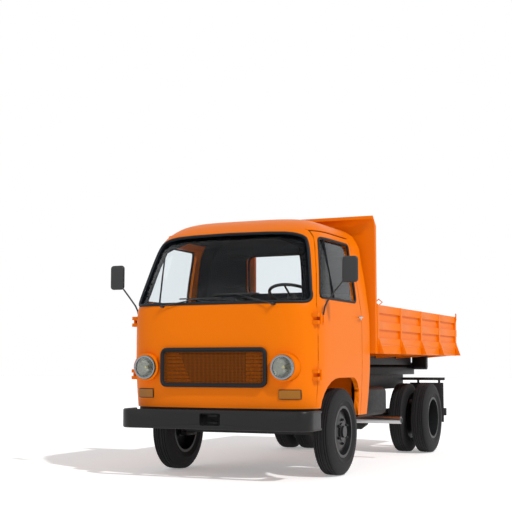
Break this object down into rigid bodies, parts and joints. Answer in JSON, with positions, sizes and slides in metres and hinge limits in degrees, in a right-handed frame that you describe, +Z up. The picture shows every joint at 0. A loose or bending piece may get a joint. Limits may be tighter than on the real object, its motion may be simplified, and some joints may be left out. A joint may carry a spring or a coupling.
{
  "type": "light dump truck",
  "caption": "Small forward-control dump truck with a rounded cab, steered front wheels, twin rear wheels and a rear-tipping bed with a swinging tailgate.",
  "frame": {"origin": "on the ground at the centre of the overall box", "axes": "+X to the vehicle left, -Y forward, +Z up"},
  "size_m": [2.41, 4.87, 2.391],
  "materials": {
    "orange_paint": "gloss",
    "chassis_black": "satin",
    "bumper_grey": "satin",
    "black_plastic": "matte",
    "tyre": "matte",
    "wheel_black": "satin",
    "glass": "gloss",
    "lamp_glass": "gloss",
    "amber": "gloss",
    "red_lamp": "gloss",
    "bright_steel": "satin",
    "cast": "matte",
    "rubber": "matte",
    "seat_vinyl": "satin"
  },
  "bodies": {
    "chassis": {"frame_rails": "chassis_black", "frame_crossmembers": "chassis_black", "subframe": "chassis_black", "front_bumper": "bumper_grey", "tow_jaw": "chassis_black", "tow_hitch": "chassis_black", "front_axle": "cast", "rear_axle": "cast", "front_springs": "chassis_black", "rear_springs": "chassis_black", "engine": "cast", "propshaft": "chassis_black", "fuel_tank": "chassis_black", "battery_box": "chassis_black", "exhaust_pipe": "bright_steel", "mudflaps": "rubber", "tail_lamps": "red_lamp", "cab_front": "orange_paint", "cab_roof": "orange_paint", "cab_rear": "orange_paint", "cab_floor": "orange_paint", "windscreen": "glass", "rear_window": "glass", "dashboard": "black_plastic", "steering_wheel": "black_plastic", "seats": "seat_vinyl", "grille": "orange_paint", "headlamp_bezels": "orange_paint", "headlamps": "lamp_glass", "indicators": "amber", "wipers": "black_plastic", "cab_hinges": "orange_paint"},
    "bed": {"bed_floor": "orange_paint", "bed_runners": "chassis_black", "bed_sides": "orange_paint", "headboard": "orange_paint"},
    "tailgate": {"tailgate": "orange_paint"},
    "lift_barrel": {"ram_barrel": "chassis_black"},
    "lift_rod": {"ram_rod": "bright_steel"},
    "door_left": {"door_left": "orange_paint", "door_glass_left": "glass", "door_hinges_left": "orange_paint", "mirror_left": "black_plastic"},
    "steer_left": {"knuckle_left": "cast"},
    "wheel_front_left": {"tyre_front_left": "tyre", "wheel_front_left": "wheel_black"},
    "wheels_rear_left": {"tyres_rear_left": "tyre", "wheels_rear_left": "wheel_black"},
    "door_right": {"door_right": "orange_paint", "door_glass_right": "glass", "door_hinges_right": "orange_paint", "mirror_right": "black_plastic"},
    "steer_right": {"knuckle_right": "cast"},
    "wheel_front_right": {"tyre_front_right": "tyre", "wheel_front_right": "wheel_black"},
    "wheels_rear_right": {"tyres_rear_right": "tyre", "wheels_rear_right": "wheel_black"}
  },
  "joints": [
    {"name": "door_left", "type": "hinge", "parent": "chassis", "child": "door_left", "pos_m": [0.899, -2.15, 1.12], "axis": [0, 0, -1], "range_deg": [0, 70]},
    {"name": "steer_left", "type": "hinge", "parent": "chassis", "child": "steer_left", "pos_m": [0.69, -1.51, 0.381], "axis": [0, 0, 1], "range_deg": [-32, 32]},
    {"name": "spin_front_left", "type": "hinge", "parent": "steer_left", "child": "wheel_front_left", "pos_m": [0.786, -1.51, 0.381], "axis": [1, 0, 0], "continuous": true},
    {"name": "spin_rear_left", "type": "hinge", "parent": "chassis", "child": "wheels_rear_left", "pos_m": [0.7025, 1.34, 0.381], "axis": [1, 0, 0], "continuous": true},
    {"name": "door_right", "type": "hinge", "parent": "chassis", "child": "door_right", "pos_m": [-0.899, -2.15, 1.12], "axis": [0, 0, 1], "range_deg": [0, 70]},
    {"name": "steer_right", "type": "hinge", "parent": "chassis", "child": "steer_right", "pos_m": [-0.69, -1.51, 0.381], "axis": [0, 0, 1], "range_deg": [-32, 32]},
    {"name": "spin_front_right", "type": "hinge", "parent": "steer_right", "child": "wheel_front_right", "pos_m": [-0.786, -1.51, 0.381], "axis": [1, 0, 0], "continuous": true},
    {"name": "spin_rear_right", "type": "hinge", "parent": "chassis", "child": "wheels_rear_right", "pos_m": [-0.7025, 1.34, 0.381], "axis": [1, 0, 0], "continuous": true},
    {"name": "bed_tilt", "type": "hinge", "parent": "chassis", "child": "bed", "pos_m": [0, 2.21, 0.955], "axis": [-1, 0, 0], "range_deg": [0, 50]},
    {"name": "tailgate_swing", "type": "hinge", "parent": "bed", "child": "tailgate", "pos_m": [0, 2.357, 1.519], "axis": [1, 0, 0], "range_deg": [0, 80]},
    {"name": "lift_swing", "type": "hinge", "parent": "chassis", "child": "lift_barrel", "pos_m": [0, -0.31, 0.64], "axis": [1, 0, 0], "range_deg": [0, 22]},
    {"name": "lift_extend", "type": "slide", "parent": "lift_barrel", "child": "lift_rod", "axis": [0, 0.971, 0.2393], "range_m": [0, 0.66]}
  ],
  "couplings": [
    {"joint": "steer_right", "follows": "steer_left", "ratio": 1},
    {"joint": "lift_swing", "follows": "bed_tilt", "ratio": 0.435},
    {"joint": "lift_extend", "follows": "bed_tilt", "m_per_rad": 0.75}
  ]
}
